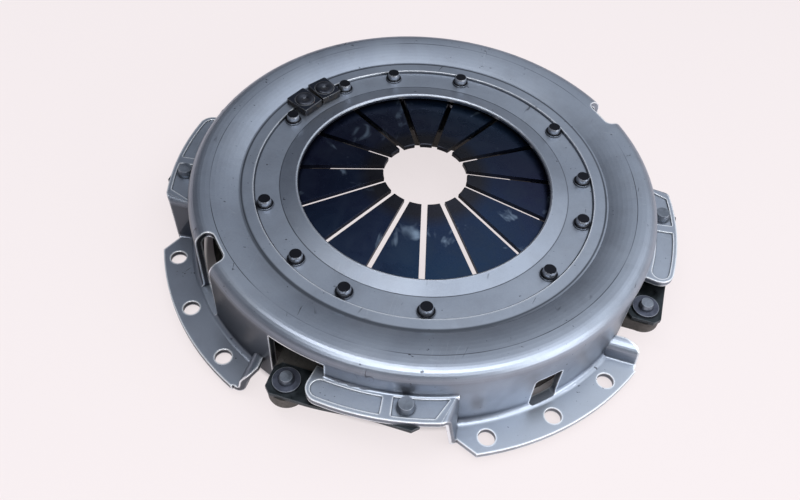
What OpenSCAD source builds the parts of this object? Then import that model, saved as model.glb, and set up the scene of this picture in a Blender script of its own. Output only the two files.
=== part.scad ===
// Push-type diaphragm clutch cover assembly for a 300 mm disc.
// Origin: centre of the flange's mounting face. +Z points away from the flywheel.
// Every angle is measured counter-clockwise from +X, seen from +Z.

/* [Cover pressing] */
// Diameter of the circle of flange bolt holes
mount_pcd = 350; // [347:0.5:353]
// Diameter of a flange bolt hole
mount_hole_d = 11; // [9:0.5:12]
// Width of the bolting flange outside the circle of holes
flange_edge = 10; // [8.5:0.25:12]
// Thickness of the pressed sheet
sheet_t = 4.5; // [4:0.1:4.9]
// Outside diameter of the side wall
wall_od = 324; // [322:0.5:326]
// Radius of the fillet between side wall and flange
foot_fillet_r = 4; // [3:0.25:4.5]
// Height of the crown above the mounting face
crown_h = 58.2; // [57.4:0.1:59]
// Outside radius of the shoulder between crown and side wall
shoulder_r = 9.2; // [7:0.2:10]
// Height of the flat ring that carries the stud rivets
rivet_face_h = 51.4; // [51:0.1:52]
// Diameter of the central opening
opening_d = 175.6; // [172:0.4:178]
// Diameter of the bend where the coned inner lip starts
lip_bend_d = 200.8; // [197:0.4:203]
// Rise of the coned inner lip
lip_rise = 2.7; // [2:0.1:3.2]
// Diameter of the step outside the rivet ring
step_d = 235.5; // [234:0.5:239]
// Height of that step
step_h = 1.8; // [1:0.1:2.2]
// Diameter of the line where the shoulder starts to rise
groove_d = 252.5; // [250:0.5:256]

/* [Strap pads and lug windows] */
// Height of a pad's top face above the mounting face
pad_h = 37.4; // [36.4:0.1:38.4]
// Width of a pad, from the side wall outward
pad_w = 17.5; // [16.5:0.25:19]
// Radius of the fillet between side wall and pad
pad_fillet_r = 1.5; // [1:0.25:2]
// Radius of a pad's rounded outer corner
pad_corner_r = 9.5; // [6:0.5:12]
// Width of the raised rim round a pad's recessed panels
pad_rim_w = 3; // [2:0.25:4]
// Depth of those panels
pad_recess = 0.9; // [0.4:0.1:1.4]
// Height of the top edge of a lug window
lug_window_h = 49; // [47:0.5:49]
// Height of the raised end of each flange segment, top face
hump_h = 17.5; // [15:0.5:20]
// Middle radius of the sheet's bends at a segment's two ends
bend_r = 4.6; // [4:0.2:5.5]

/* [Vent windows] */
// Width of a tall window, through shoulder and wall
tall_vent_w = 26; // [22:0.5:30]
// Width of a low window, in the wall only
low_vent_w = 20; // [16:0.5:24]
// Radius of a tall window's corners, seen from above
tall_vent_corner_r = 5; // [3:0.5:8]
// Radius of a low window's corners
low_vent_corner_r = 2.5; // [1:0.5:5]
// Height of a low window's top edge
low_vent_h = 33; // [28:0.5:38]
// Height of both kinds' lower edge over the flange
vent_sill_h = 0.6; // [0.4:0.1:2]

/* [Stud rivets and fulcrum rings] */
// Diameter of the circle of stud rivets
stud_pcd = 223; // [222:0.5:224]
// Diameter of a stud between cover and lower ring
stud_d = 9; // [8:0.25:9.5]
// Diameter of a stud's neck in the cover
stud_neck_d = 8; // [7:0.25:8.5]
// Height of a stud's head above the rivet ring
stud_head_h = 5.8; // [4:0.2:7]
// Diameter of the collar at the foot of a stud's head
stud_collar_d = 11.5; // [11:0.25:12]
// Height of that collar
stud_collar_h = 1.2; // [0.8:0.1:1.6]
// Diameter of the lower head, under the lower ring
stud_foot_d = 17; // [16:0.5:19]
// Thickness of the lower head
stud_foot_t = 3; // [2:0.25:4]
// Wire diameter of the two fulcrum rings
ring_wire_d = 4; // [3.5:0.1:4.5]
// Gap at the butt joint of each wire ring
ring_gap = 1.5; // [0.5:0.25:3]

/* [Diaphragm spring] */
// Diameter of the circle of finger tips
tip_d = 58; // [52:1:64]
// Outside diameter of the spring
spring_od = 286; // [284:0.5:288]
// Thickness of the spring
spring_t = 3.4; // [3:0.1:3.8]
// Width of a slot between two fingers
slot_w = 4.1; // [3:0.1:4.6]
// Width of the window round a stud
eye_w = 16.5; // [16:0.25:17.5]
// Radial length of that window
eye_len = 18; // [17.5:0.25:19]
// Gap between two neighbouring sectors of the rim
rim_gap = 0.3; // [0.2:0.05:0.6]

/* [Pressure plate] */
// Outside diameter of the friction ring
plate_od = 300; // [298:0.5:302]
// Bore of the friction ring
plate_bore_d = 190; // [184:1:196]
// How far the friction face stands below the mounting face
plate_proud = 6.6; // [5:0.2:8]
// Thickness of the friction ring
plate_t = 20; // [17:0.5:22]
// Diameter of the ridge that the spring presses on
ridge_d = 279; // [277:0.5:280]
// Width of the ridge
ridge_w = 5; // [4:0.25:6]
// Width of the pedestals under the ridge
pedestal_w = 13; // [11:0.5:15]
// Height of the ridge over its pedestals
ridge_h = 7; // [5:0.5:9]
// Width of an air gap between two pedestals
air_gap_w = 16; // [12:0.5:20]
// Radius of a lug's rounded end
lug_r = 12; // [11.5:0.25:13]
// Thickness of a lug
lug_t = 9; // [7:0.25:10]

/* [Drive straps] */
// Gap between two leaves
leaf_gap = 0.05; // [0.02:0.01:0.1]
// Width of a strap
strap_w = 22.5; // [21:0.25:24]
// Thickness of one leaf
leaf_t = 1; // [0.8:0.05:1.2]
// Distance from a pad's outer edge to a strap's centre line
strap_inset = 13.9; // [13.5:0.1:14.3]
// Distance between a strap's two rivets
strap_pitch = 74.6; // [73.6:0.2:75.6]
// Length of a strap beyond each rivet
strap_end = 11; // [10.5:0.25:12]
// Fall from the cover's pad to the plate's lug
strap_drop = 7.1; // [6.5:0.1:8]
// Length of a strap's clipped corners
strap_clip = 4; // [2:0.25:6]
// Shank diameter of the strap rivets
strap_shank_d = 7; // [6:0.25:7.5]
// Head diameter of the rivets on the cover
cover_head_d = 10.9; // [10:0.1:11.2]
// Head height of the rivets on the cover, over the panel
cover_head_h = 5.4; // [4.5:0.1:6]
// Head diameter of the rivets on the plate
plate_head_d = 9.2; // [8.6:0.1:10]
// Head height of the rivets on the plate
plate_head_h = 3.9; // [3:0.1:4.5]
// Outside diameter of the washers on the plate's rivets
washer_d = 17.5; // [15:0.5:19]
// Thickness of those washers
washer_t = 1.4; // [1:0.1:2]
// Thickness of the formed heads under pad and lug
tail_t = 2.5; // [1.5:0.25:3]

/* [Balance weights] */
// Tangential width of the first weight
weight_w1 = 17.5; // [15:0.5:18.5]
// Tangential width of the second weight
weight_w2 = 16; // [14:0.5:17]
// Radial length of a weight
weight_len = 19.5; // [17:0.5:20]
// Height of a weight over the step
weight_t = 3.8; // [2.5:0.1:5]
// Distance of the weights' rivets from the axis
weight_rivet_r = 115.5; // [114.5:0.1:116.5]
// Head diameter of those rivets
weight_head_d = 11; // [9:0.5:12]
// Head height of those rivets
weight_head_h = 2.4; // [1.5:0.1:3]
// Shank diameter of those rivets
weight_shank_d = 6; // [5:0.25:7]

/* [Fits] */
// Clearance between the spring and what it rolls on
roll_clearance = 0.5; // [0.45:0.05:0.6]
// Radial clearance of a rivet's shank in its hole
shank_clearance = 0.1; // [0.05:0.05:0.2]

/* [Hidden] */
quarter_count = 4;
finger_count = 15;
leaf_count = 3;
finger_names = [for (i = [1:finger_count]) str("finger_", i < 10 ? "0" : "", i)];
strap_names = [for (i = [1:quarter_count]) str("drive_strap_", i)];
$fn = 96;
overrun = 1;
wedge_r = mount_pcd;
arc_steps = 8;

// Cover, worked out from the sizes above.
flange_r = mount_pcd / 2 + flange_edge;
wall_r = wall_od / 2;
pad_r = wall_r + pad_w;
wall_in_r = wall_r - sheet_t;
opening_r = opening_d / 2;
lip_r = lip_bend_d / 2;
step_r = step_d / 2;
groove_r = groove_d / 2;
step_slope_w = 0.7;
seat_margin = 2;
step_face_h = rivet_face_h + step_h;
crown_r = wall_r - shoulder_r;
groove_fillet_r = 1.6;
// The crown's large arc leaves the step's face a little outside the groove.
crown_rise = crown_h - step_face_h;
crown_run = crown_r - groove_r - groove_fillet_r;
crown_arc_r = (crown_run * crown_run + crown_rise * crown_rise) / (2 * crown_rise);
crown_arc_angle = asin(crown_run / crown_arc_r);
edge_r = 1.4;

full_turn_angle = 360;
half_turn_angle = full_turn_angle / 2;
right_angle = full_turn_angle / 4;

// Angles of one quarter of the cover. The others follow at 90 degree steps.
quarter_angle = full_turn_angle / quarter_count;
segment_angle = 315;
hole_spread_angle = 15;
segment_from_angle = 294;
segment_to_angle = 336.5;
segment_skew_angle = 44;
hump_angle = 335.8;
hump_turn_angle = right_angle;
hump_slope_angle = 80;
hump_foot_r = 3.6;
hump_crest_r = 6;
hump_lead = 0.6;
hump_corner_r = 9;
ramp_slope_angle = 78;
ramp_foot_r = 174;
ramp_sink = 0.15;
ramp_lap_angle = 0.4;
ramp_root_angle = 1.4;
pad_from_angle = 262.5;
pad_to_angle = 289.6;
pad_panel_to_angle = 278;
pad_seat_from_angle = 280.2;
pad_seat_to_angle = 288.6;
// A pad's end leans: it meets the wall further on than its outer edge.
pad_lean_angle = 4.4;
lug_window_from_angle = 251.2;
lug_window_to_angle = 265;
tall_vent_inner_r = 149.3;

// Diaphragm spring and the rings that it rolls on.
cone_angle = 10.5;
stud_r = stud_pcd / 2;
ring_r = stud_r + stud_d / 2 + ring_wire_d / 2 + shank_clearance;
cover_under = rivet_face_h - sheet_t;
ring_upper_z = cover_under - ring_wire_d / 2;
pivot_drop = (spring_t / 2 + roll_clearance + ring_wire_d / 2) / cos(cone_angle);
pivot_z = ring_upper_z - pivot_drop;
ring_lower_z = pivot_z - pivot_drop;
stud_foot_z = ring_lower_z - ring_wire_d / 2;
tip_r = tip_d / 2;
rim_r = spring_od / 2;
finger_pitch_angle = full_turn_angle / finger_count;
first_finger_angle = 9.15;
half_t = spring_t / 2 / cos(cone_angle);
rim_round = 0.6;
// Three eyes of the spring stay empty, and four studs stand between two of them.
empty_eye_angle = 69.2;
near_stud_angle = 22.53;
far_stud_angle = 49.6;
empty_eye_count = 3;
stud_offset_angles = [-far_stud_angle, -near_stud_angle, near_stud_angle, far_stud_angle];
stud_angles = [for (i = [0:empty_eye_count - 1], offset = stud_offset_angles)
  empty_eye_angle + i * full_turn_angle / empty_eye_count + offset];

// Pressure plate.
friction_z = -plate_proud;
plate_top = friction_z + plate_t;
ridge_r = ridge_d / 2;
ridge_top = spring_mid_z(ridge_r) - half_t - roll_clearance;
pedestal_top = ridge_top - ridge_h;
air_gap_count = 12;
lug_neck_w = 38;
plate_chamfer = 1.5;

// Straps: the pad's underside is the seat of the cover's end, the lug's top that of the other.
pad_under = pad_h - sheet_t;
leaf_pitch = leaf_t + leaf_gap;
strap_t = leaf_count * leaf_t + (leaf_count - 1) * leaf_gap;
strap_angle = 270.2;
strap_offset = pad_r - strap_inset;
lug_top = pad_under - strap_drop - strap_t;
strap_flat = 12;
strap_angles = [for (i = [0:quarter_count - 1]) strap_angle + i * quarter_angle];
lug_a = strap_angle - atan(strap_pitch / 2 / strap_offset);
lug_pitch_r = norm([strap_pitch / 2, strap_offset]);
head_collar_share = 0.4;
head_top_share = 0.85;

// Balance weights.
weight_angles = [157.4, 147.7];
weight_from_r = 106.3;
weight_top = step_face_h + weight_t;
weight_corner = 2;
// The lower end of a weight's rivet is sunk flush, because the wire ring runs right below it.
weight_sink_t = sheet_t / 3;
weight_sink_d = weight_shank_d + 2 * weight_sink_t;

function spring_mid_z(r) = pivot_z + (ring_r - r) * tan(cone_angle);
function arc(centre, r, from, to) = [
  for (i = [0:arc_steps])
    let (a = from + (to - from) * i / arc_steps)
      [centre[0] + r * cos(a), centre[1] + r * sin(a)]
];
function reverse(list) = [for (i = [len(list) - 1:-1:0]) list[i]];
// Length over which a strip of sheet climbs, with a bend of radius r1, a slope and a bend of r2.
function joggle_run(rise, slope, r1, r2) =
  (r1 + r2) * sin(slope) + (abs(rise) - (r1 + r2) * (1 - cos(slope))) / tan(slope);
// A flat stretch, two opposite bends and a second flat stretch, as [x, z, heading].
// The heading is 0 on the flats and slope on the stretch between the bends.
function joggle_line(rise, slope, r1, r2, lead_in, lead_out) =
  let (side = sign(rise), run = joggle_run(rise, slope, r1, r2))
    concat(
      [[-lead_in, 0, 0]],
      [for (i = [0:arc_steps])
        let (a = slope * i / arc_steps)
          [r1 * sin(a), side * r1 * (1 - cos(a)), side * a]],
      [for (i = [0:arc_steps])
        let (a = slope * (1 - i / arc_steps))
          [run - r2 * sin(a), rise - side * r2 * (1 - cos(a)), side * a]],
      [[run + lead_out, rise, 0]]
    );
function beside(line, gap) = [for (p = line) [p[0] - gap * sin(p[2]), p[1] + gap * cos(p[2])]];

// Local x runs along the circle and local -y points outward at the given angle.
module at_angle(angle) {
  rotate([0, 0, angle + 90]) children();
}

module around() {
  for (i = [0:quarter_count - 1]) rotate([0, 0, i * quarter_angle]) children();
}

// The sector of the plane between two angles, for spans under 90 degrees.
module wedge(from, to) {
  polygon([[0, 0], wedge_r * [cos(from), sin(from)], wedge_r * [cos(to), sin(to)]]);
}

module ring_part(from, to) {
  intersection() {
    rotate_extrude() children();
    translate([0, 0, -crown_h]) linear_extrude(3 * crown_h) wedge(from, to);
  }
}

module box_2d(x, y) {
  translate([x[0], y[0]]) square([x[1] - x[0], y[1] - y[0]]);
}

// Section of the pressing from the opening's edge to the foot of the wall.
module shell_section() {
  crown_centre = [crown_r, crown_h - crown_arc_r];
  shoulder_centre = [crown_r, crown_h - shoulder_r];
  rise_from = 90 + crown_arc_angle;
  top = concat(
    [[opening_r, rivet_face_h + lip_rise - edge_r]],
    [[opening_r + edge_r / 3, rivet_face_h + lip_rise - edge_r / 3]],
    [[opening_r + edge_r, rivet_face_h + lip_rise]],
    [[lip_r, rivet_face_h]],
    [[step_r - step_slope_w / 2, rivet_face_h]],
    [[step_r + step_slope_w / 2, step_face_h]],
    [[groove_r, step_face_h]],
    arc(crown_centre, crown_arc_r, rise_from, 90),
    arc(shoulder_centre, shoulder_r, 90, 0)
  );
  under = concat(
    [[wall_r, 0]],
    [[wall_in_r, 0]],
    arc(shoulder_centre, shoulder_r - sheet_t, 0, 90),
    arc(crown_centre, crown_arc_r - sheet_t, 90, rise_from),
    [[groove_r + edge_r, step_face_h - sheet_t]],
    [[ring_r + ring_wire_d / 2 + seat_margin + step_h, step_face_h - sheet_t]],
    [[ring_r + ring_wire_d / 2 + seat_margin, cover_under]],
    [[lip_r, cover_under]],
    [[opening_r + edge_r, cover_under + lip_rise]],
    [[opening_r, cover_under + lip_rise + edge_r]]
  );
  polygon(concat(top, under));
}

// Section of the fillet between the wall and a flat of the given height.
module fillet_section(face_h, r) {
  difference() {
    box_2d([wall_in_r + sheet_t / 2, wall_r + r], [face_h - sheet_t / 2, face_h + r]);
    translate([wall_r + r, face_h + r]) circle(r);
  }
}

module flange_section() {
  box_2d([wall_in_r + sheet_t / 2, flange_r], [0, sheet_t]);
  fillet_section(sheet_t, foot_fillet_r);
}

// Plan of a segment's raised end, with its outer corner rounded.
module hump_outline(run) {
  centre_r = flange_r - edge_r - hump_corner_r;
  end_angle = hump_angle + (run - hump_corner_r) / centre_r * half_turn_angle / PI;
  corner_centre = centre_r * [cos(end_angle), sin(end_angle)];
  polygon(concat(
    [(wall_in_r + sheet_t / 2) * [cos(segment_angle), sin(segment_angle)]],
    [(flange_r - edge_r) * [cos(segment_angle), sin(segment_angle)]],
    arc([0, 0], flange_r - edge_r, segment_angle + hole_spread_angle, end_angle),
    arc(corner_centre, hump_corner_r, end_angle, end_angle + right_angle),
    [corner_centre + (centre_r - wall_in_r) * [-cos(end_angle), -sin(end_angle)]
      + hump_corner_r * [-sin(end_angle), cos(end_angle)]]
  ));
}

// The end of a segment beside the lug window: the sheet rises to a rounded crest.
module hump() {
  strip_len = flange_r - wall_in_r;
  mid_r = (flange_r + wall_in_r) / 2;
  rise = hump_h - sheet_t;
  run = joggle_run(rise, hump_slope_angle, hump_foot_r, hump_crest_r);
  line = joggle_line(rise, hump_slope_angle, hump_foot_r, hump_crest_r, sheet_t, hump_lead);
  intersection() {
    translate([mid_r * cos(hump_angle), mid_r * sin(hump_angle), sheet_t / 2])
      rotate([0, 0, hump_turn_angle]) translate([0, strip_len, 0])
        rotate([90, 0, 0]) linear_extrude(2 * strip_len)
          polygon(concat(beside(line, sheet_t / 2), reverse(beside(line, -sheet_t / 2))));
    translate([0, 0, -overrun]) linear_extrude(crown_h) difference() {
      hump_outline(run + hump_lead);
      circle(wall_in_r + sheet_t / 2);
    }
  }
}

module flange_segment() {
  difference() {
    ring_part(segment_from_angle, segment_to_angle) flange_section();
    at_angle(segment_from_angle) translate([0, -ramp_foot_r, -overrun])
      rotate([0, 0, segment_skew_angle]) translate([-flange_r, -flange_r, 0])
        cube([flange_r, flange_r, sheet_t + 2 * overrun]);
  }
  hump();
}

// Place of a point of the ramp: x of its section is spread over an angle that grows outward.
function ramp_point(p, run, r_from, r_to, angle_from, angle_to) =
  let (
    share = p[0] / run,
    r = r_from + (r_to - r_from) * min(max(share, 0), 1),
    angle = angle_from + (angle_to - angle_from) * share
  )
    [r * cos(angle), r * sin(angle), p[1]];

// The fan of sheet that falls from a pad's end to the flange. Its inner edge is the wall's.
module ramp() {
  t = sheet_t - 2 * ramp_sink;
  rise = sheet_t - pad_h;
  run = joggle_run(rise, ramp_slope_angle, bend_r, bend_r);
  line = joggle_line(rise, ramp_slope_angle, bend_r, bend_r, sheet_t, sheet_t);
  rim = concat(beside(line, t / 2), reverse(beside(line, -t / 2)));
  count = len(rim);
  inner_r = wall_in_r + sheet_t / 2 + ramp_sink;
  top_angle = pad_to_angle + ramp_lap_angle;
  wall_angle = top_angle + pad_lean_angle - ramp_root_angle / 2;
  outer = [for (p = rim)
    ramp_point(p, run, pad_r - ramp_sink, ramp_foot_r - ramp_sink, top_angle, segment_from_angle)];
  inner = [for (p = rim) ramp_point(p, run, inner_r, inner_r, wall_angle, wall_angle + ramp_root_angle)];
  translate([0, 0, pad_h - sheet_t / 2]) polyhedron(
    points = concat(outer, inner),
    faces = concat(
      [for (i = [0:count / 2 - 1]) [i, count + i, i + 1]],
      [for (i = [0:count / 2 - 1]) [i + 1, count + i, count + i + 1]],
      [for (i = [count / 2:count - 1]) [i, count + (i + 1) % count, (i + 1) % count]],
      [for (i = [count / 2:count - 1]) [i, count + i, count + (i + 1) % count]],
      [for (i = [0:count / 2 - 2]) [i, i + 1, count - 1 - i]],
      [for (i = [0:count / 2 - 2]) [i + 1, count - 2 - i, count - 1 - i]],
      [for (i = [0:count / 2 - 2]) [2 * count - 1 - i, count + i + 1, count + i]],
      [for (i = [0:count / 2 - 2]) [2 * count - 1 - i, 2 * count - 2 - i, count + i + 1]]
    )
  );
}

module pad_outline() {
  corner_r = pad_r - pad_corner_r;
  corner_from = pad_from_angle + asin(pad_corner_r / corner_r);
  corner_centre = corner_r * [cos(corner_from), sin(corner_from)];
  polygon(concat(
    arc([0, 0], wall_in_r + sheet_t / 2, pad_to_angle + pad_lean_angle, pad_from_angle),
    arc(corner_centre, pad_corner_r, pad_from_angle - right_angle, corner_from),
    arc([0, 0], pad_r, corner_from, pad_to_angle)
  ));
}

module pad() {
  translate([0, 0, pad_h - sheet_t]) linear_extrude(sheet_t) pad_outline();
  ring_part(pad_from_angle, pad_to_angle + pad_lean_angle - ramp_lap_angle / 4) fillet_section(pad_h, pad_fillet_r);
}

module pad_recess_outline() {
  in_r = wall_r + pad_fillet_r + pad_rim_w / 2;
  seat_in_r = lug_pitch_r - cover_head_d / 2 - 2 * shank_clearance;
  out_r = pad_r - pad_rim_w;
  mid_r = (in_r + out_r) / 2;
  end_r = (out_r - in_r) / 2;
  from = pad_from_angle + asin((pad_rim_w + end_r) / mid_r);
  polygon(concat(
    arc([0, 0], in_r, pad_panel_to_angle, from),
    arc(mid_r * [cos(from), sin(from)], end_r, from - half_turn_angle, from),
    arc([0, 0], out_r, from, pad_panel_to_angle)
  ));
  polygon(concat(
    arc([0, 0], seat_in_r, pad_seat_to_angle + pad_lean_angle * 3 / 4, pad_seat_from_angle),
    arc([0, 0], out_r, pad_seat_from_angle, pad_seat_to_angle)
  ));
}

module lug_window() {
  cut = [wall_in_r - overrun, wall_r + foot_fillet_r + overrun];
  pad_cut = [cut[0], wall_r + pad_fillet_r + overrun];
  ring_part(lug_window_from_angle, pad_from_angle) box_2d(cut, [-overrun, lug_window_h]);
  ring_part(pad_from_angle - overrun, lug_window_to_angle) box_2d(pad_cut, [pad_h, lug_window_h]);
  ring_part(pad_from_angle - overrun, pad_to_angle)
    box_2d([cut[0], wall_r + sheet_t], [-overrun, pad_under]);
}

// Rounded rectangle between two corners.
module round_box_2d(x, y, r) {
  polygon(concat(
    arc([x[1] - r, y[1] - r], r, 0, right_angle),
    arc([x[0] + r, y[1] - r], r, right_angle, half_turn_angle),
    arc([x[0] + r, y[0] + r], r, half_turn_angle, half_turn_angle + right_angle),
    arc([x[1] - r, y[0] + r], r, -right_angle, 0)
  ));
}

// A window seen from above, through the shoulder and the wall.
module tall_vent() {
  half_w = tall_vent_w / 2;
  at_angle(0) translate([0, 0, sheet_t + vent_sill_h]) linear_extrude(crown_h)
    round_box_2d([-half_w, half_w], [sheet_t - flange_r, -tall_vent_inner_r], tall_vent_corner_r);
}

// A window seen from the side, through the wall alone.
module low_vent() {
  half_w = low_vent_w / 2;
  at_angle(0) translate([0, sheet_t - wall_in_r, 0]) rotate([90, 0, 0]) linear_extrude(flange_r - wall_in_r)
    round_box_2d([-half_w, half_w], [sheet_t + vent_sill_h, low_vent_h], low_vent_corner_r);
}

module cover() {
  color("#a3abb5") difference() {
    union() {
      rotate_extrude() shell_section();
      around() {
        flange_segment();
        ramp();
        pad();
      }
    }
    around() {
      lug_window();
      translate([0, 0, pad_h - pad_recess]) linear_extrude(sheet_t) pad_recess_outline();
      for (side = [-1:1]) rotate([0, 0, segment_angle + side * hole_spread_angle])
        translate([mount_pcd / 2, 0, -overrun]) cylinder(h = sheet_t + 2 * overrun, d = mount_hole_d);
      at_strap_end(1) translate([0, 0, pad_under - overrun])
        cylinder(h = sheet_t + 2 * overrun, d = strap_shank_d + 2 * shank_clearance);
    }
    for (turn = [-quarter_angle, quarter_angle]) rotate([0, 0, segment_angle + turn]) tall_vent();
    for (turn = [0, half_turn_angle]) rotate([0, 0, segment_angle + turn]) low_vent();
    for (angle = stud_angles) rotate([0, 0, angle]) translate([stud_r, 0, cover_under - overrun])
      cylinder(h = sheet_t + 2 * overrun, d = stud_neck_d + 2 * shank_clearance);
    for (angle = weight_angles) rotate([0, 0, angle]) translate([weight_rivet_r, 0, cover_under]) {
      hole_d = weight_shank_d + 2 * shank_clearance;
      translate([0, 0, -overrun])
        cylinder(h = step_face_h - cover_under + 2 * overrun, d = hole_d);
      translate([0, 0, -overrun]) cylinder(
        h = weight_sink_t + overrun,
        d1 = hole_d + 2 * (weight_sink_t + overrun),
        d2 = hole_d
      );
    }
  }
}

module wire_ring(z) {
  gap_angle = ring_gap / ring_r * half_turn_angle / PI;
  color("#3d4046") rotate([0, 0, first_finger_angle + gap_angle / 2]) translate([0, 0, z])
    rotate_extrude(angle = full_turn_angle - gap_angle) translate([ring_r, 0]) circle(d = ring_wire_d);
}

module fulcrum_ring_upper() {
  wire_ring(ring_upper_z);
}

module fulcrum_ring_lower() {
  wire_ring(ring_lower_z);
}

module stud_rivets() {
  crown_d = stud_neck_d;
  color("#34363b") for (angle = stud_angles) rotate([0, 0, angle]) translate([stud_r, 0, 0]) {
    translate([0, 0, stud_foot_z - stud_foot_t]) cylinder(h = stud_foot_t, d = stud_foot_d);
    translate([0, 0, stud_foot_z]) cylinder(h = cover_under - stud_foot_z, d = stud_d);
    translate([0, 0, cover_under]) cylinder(h = sheet_t, d = stud_neck_d);
    translate([0, 0, rivet_face_h]) cylinder(h = stud_collar_h, d = stud_collar_d);
    translate([0, 0, rivet_face_h + stud_collar_h])
      cylinder(h = stud_head_h - 2 * stud_collar_h, d = stud_d);
    translate([0, 0, rivet_face_h + stud_head_h - stud_collar_h])
      cylinder(h = stud_collar_h, d1 = stud_d, d2 = crown_d);
  }
}

module spring_section() {
  tip_z = spring_mid_z(tip_r);
  rim_z = spring_mid_z(rim_r);
  round_z = spring_mid_z(rim_r - rim_round);
  polygon([
    [tip_r, tip_z - half_t],
    [rim_r - rim_round, round_z - half_t],
    [rim_r, rim_z - half_t + rim_round],
    [rim_r, rim_z + half_t - rim_round],
    [rim_r - rim_round, round_z + half_t],
    [tip_r + rim_round, spring_mid_z(tip_r + rim_round) + half_t],
    [tip_r, tip_z + half_t - rim_round]
  ]);
}

// Outline of one sector, seen along the axis, with half a slot and half an eye at each side.
module sector_outline() {
  reach = rim_r + rim_round;
  half = finger_pitch_angle / 2;
  eye_out_r = stud_r + eye_w / 2;
  difference() {
    polygon([[0, 0], reach * [1, -tan(half)], reach * [1, tan(half)]]);
    for (side = [-half, half]) rotate(side) {
      translate([0, -slot_w / 2]) square([eye_out_r - eye_w / 2, slot_w]);
      translate([eye_out_r - eye_w / 2, 0]) circle(d = eye_w);
      translate([eye_out_r - eye_len + eye_w / 2, 0]) circle(d = eye_w);
      translate([eye_out_r - eye_len + eye_w / 2, -eye_w / 2]) square([eye_len - eye_w, eye_w]);
      translate([0, -rim_gap / 2]) square([reach + rim_r, rim_gap]);
    }
  }
}

module finger(i) {
  color("#262c36") rotate([0, 0, first_finger_angle + i * finger_pitch_angle]) intersection() {
    rotate_extrude() spring_section();
    linear_extrude(crown_h + crown_h) sector_outline();
  }
}

module plate_section() {
  body_out = plate_od / 2;
  body_in = plate_bore_d / 2;
  polygon([
    [body_in, friction_z + plate_chamfer],
    [body_in + plate_chamfer, friction_z],
    [body_out - plate_chamfer, friction_z],
    [body_out, friction_z + plate_chamfer],
    [body_out, plate_top - plate_chamfer],
    [body_out - plate_chamfer, plate_top],
    [body_in + plate_chamfer, plate_top],
    [body_in, plate_top - plate_chamfer]
  ]);
}

module ridge_section() {
  polygon([
    [ridge_r - pedestal_w / 2, plate_top - plate_chamfer],
    [ridge_r + pedestal_w / 2, plate_top - plate_chamfer],
    [ridge_r + pedestal_w / 2 - plate_chamfer, pedestal_top],
    [ridge_r + ridge_w / 2, pedestal_top],
    [ridge_r + ridge_w / 2, ridge_top - ridge_w / 2],
    [ridge_r - ridge_w / 2, ridge_top - ridge_w / 2],
    [ridge_r - ridge_w / 2, pedestal_top],
    [ridge_r - pedestal_w / 2 + plate_chamfer, pedestal_top]
  ]);
  translate([ridge_r, ridge_top - ridge_w / 2]) circle(d = ridge_w);
}

module plate_lug() {
  neck_r = plate_od / 2 - lug_r;
  at_angle(lug_a) translate([0, 0, lug_top - lug_t]) linear_extrude(lug_t) {
    translate([0, -lug_pitch_r]) circle(lug_r);
    polygon([
      [-lug_neck_w / 2, -neck_r],
      [-lug_r, -lug_pitch_r],
      [lug_r, -lug_pitch_r],
      [lug_neck_w / 2, -neck_r]
    ]);
  }
}

module pressure_plate() {
  pedestal_angle = full_turn_angle / air_gap_count;
  color("#7d756c") difference() {
    union() {
      rotate_extrude() plate_section();
      difference() {
        rotate_extrude() ridge_section();
        for (i = [0:air_gap_count - 1]) rotate([0, 0, (i + 1 / 2) * pedestal_angle])
          translate([ridge_r - pedestal_w, -air_gap_w / 2, plate_top])
            cube([2 * pedestal_w, air_gap_w, ridge_top]);
      }
      around() plate_lug();
    }
    around() at_strap_end(-1) translate([0, 0, lug_top - lug_t - overrun])
      cylinder(h = lug_t + 2 * overrun, d = strap_shank_d + 2 * shank_clearance);
  }
}

// The cover's end of a strap is at side 1 and the plate's end at side -1.
module at_strap_end(side) {
  at_angle(strap_angle) translate([side * strap_pitch / 2, -strap_offset, 0]) children();
}

// Underside of the lowest leaf: flat round each rivet and an S-curve between.
function strap_line() =
  let (flat_x = strap_pitch / 2 - strap_flat, steps = 2 * arc_steps)
    concat(
      [[-strap_pitch / 2 - strap_end, lug_top]],
      [for (i = [0:steps])
        let (share = i / steps)
          [
            flat_x * (2 * share - 1),
            lug_top + strap_drop * (1 - cos(180 * share)) / 2
          ]],
      [[strap_pitch / 2 + strap_end, lug_top + strap_drop]]
    );

module strap_outline() {
  half_len = strap_pitch / 2 + strap_end;
  half_w = strap_w / 2;
  difference() {
    polygon([
      [-half_len, half_w - strap_clip],
      [-half_len + strap_clip, half_w],
      [half_len - strap_clip, half_w],
      [half_len, half_w - strap_clip],
      [half_len, strap_clip - half_w],
      [half_len - strap_clip, -half_w],
      [strap_clip - half_len, -half_w],
      [-half_len, strap_clip - half_w]
    ]);
    for (side = [-1, 1]) translate([side * strap_pitch / 2, 0])
      circle(d = strap_shank_d + 2 * shank_clearance);
  }
}

module drive_strap(i) {
  line = strap_line();
  color("#23292b") at_angle(strap_angles[i]) translate([0, -strap_offset, 0])
    for (leaf = [0:leaf_count - 1]) intersection() {
      translate([0, strap_w, leaf * leaf_pitch]) rotate([90, 0, 0]) linear_extrude(2 * strap_w)
        polygon(concat(line, [for (p = reverse(line)) [p[0], p[1] + leaf_t]]));
      linear_extrude(pad_h) strap_outline();
    }
}

// A head that narrows a little over its upper part.
module rivet_head(d, h) {
  collar_h = head_collar_share * h;
  cylinder(h = collar_h, d = d);
  translate([0, 0, collar_h]) cylinder(h = h - collar_h, d1 = d, d2 = head_top_share * d);
}

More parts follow.
